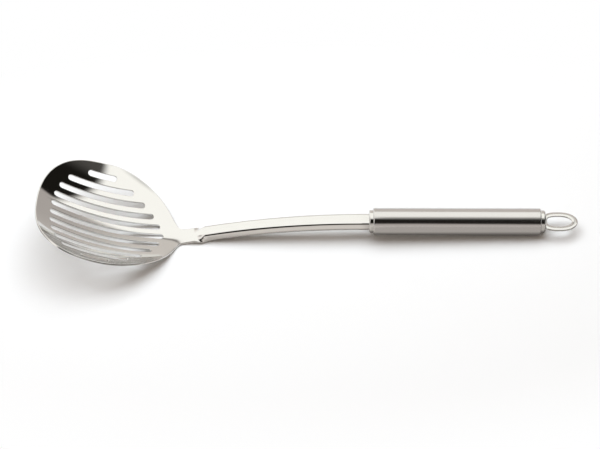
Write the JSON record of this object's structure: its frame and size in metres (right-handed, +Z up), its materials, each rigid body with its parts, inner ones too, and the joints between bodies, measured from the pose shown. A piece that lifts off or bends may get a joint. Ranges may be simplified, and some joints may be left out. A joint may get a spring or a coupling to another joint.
{
  "type": "slotted ladle",
  "caption": "Slotted serving ladle in polished steel: an egg-shaped slotted bowl and channel shank pressed from one sheet, set in a round tubular handle with end caps and a hanging loop.",
  "frame": {"origin": "On the table, below the middle of the bounding box of the ladle as it lies at rest.", "axes": "+X runs along the ladle from the bowl to the hanging loop, +Y across it, +Z up from the table."},
  "size_m": [0.3592, 0.0936, 0.0366],
  "materials": {
    "polished_steel": "polished",
    "cap_steel": "polished",
    "tube_steel": "fine brushed",
    "plain_steel": "plain turned",
    "loop_steel": "polished"
  },
  "bodies": {
    "root": {"bowl_and_shank": "polished_steel", "front_cap": "cap_steel", "handle_tube": "tube_steel", "tang_plug": "plain_steel", "rear_cap": "cap_steel", "hanging_loop": "loop_steel"}
  },
  "joints": []
}
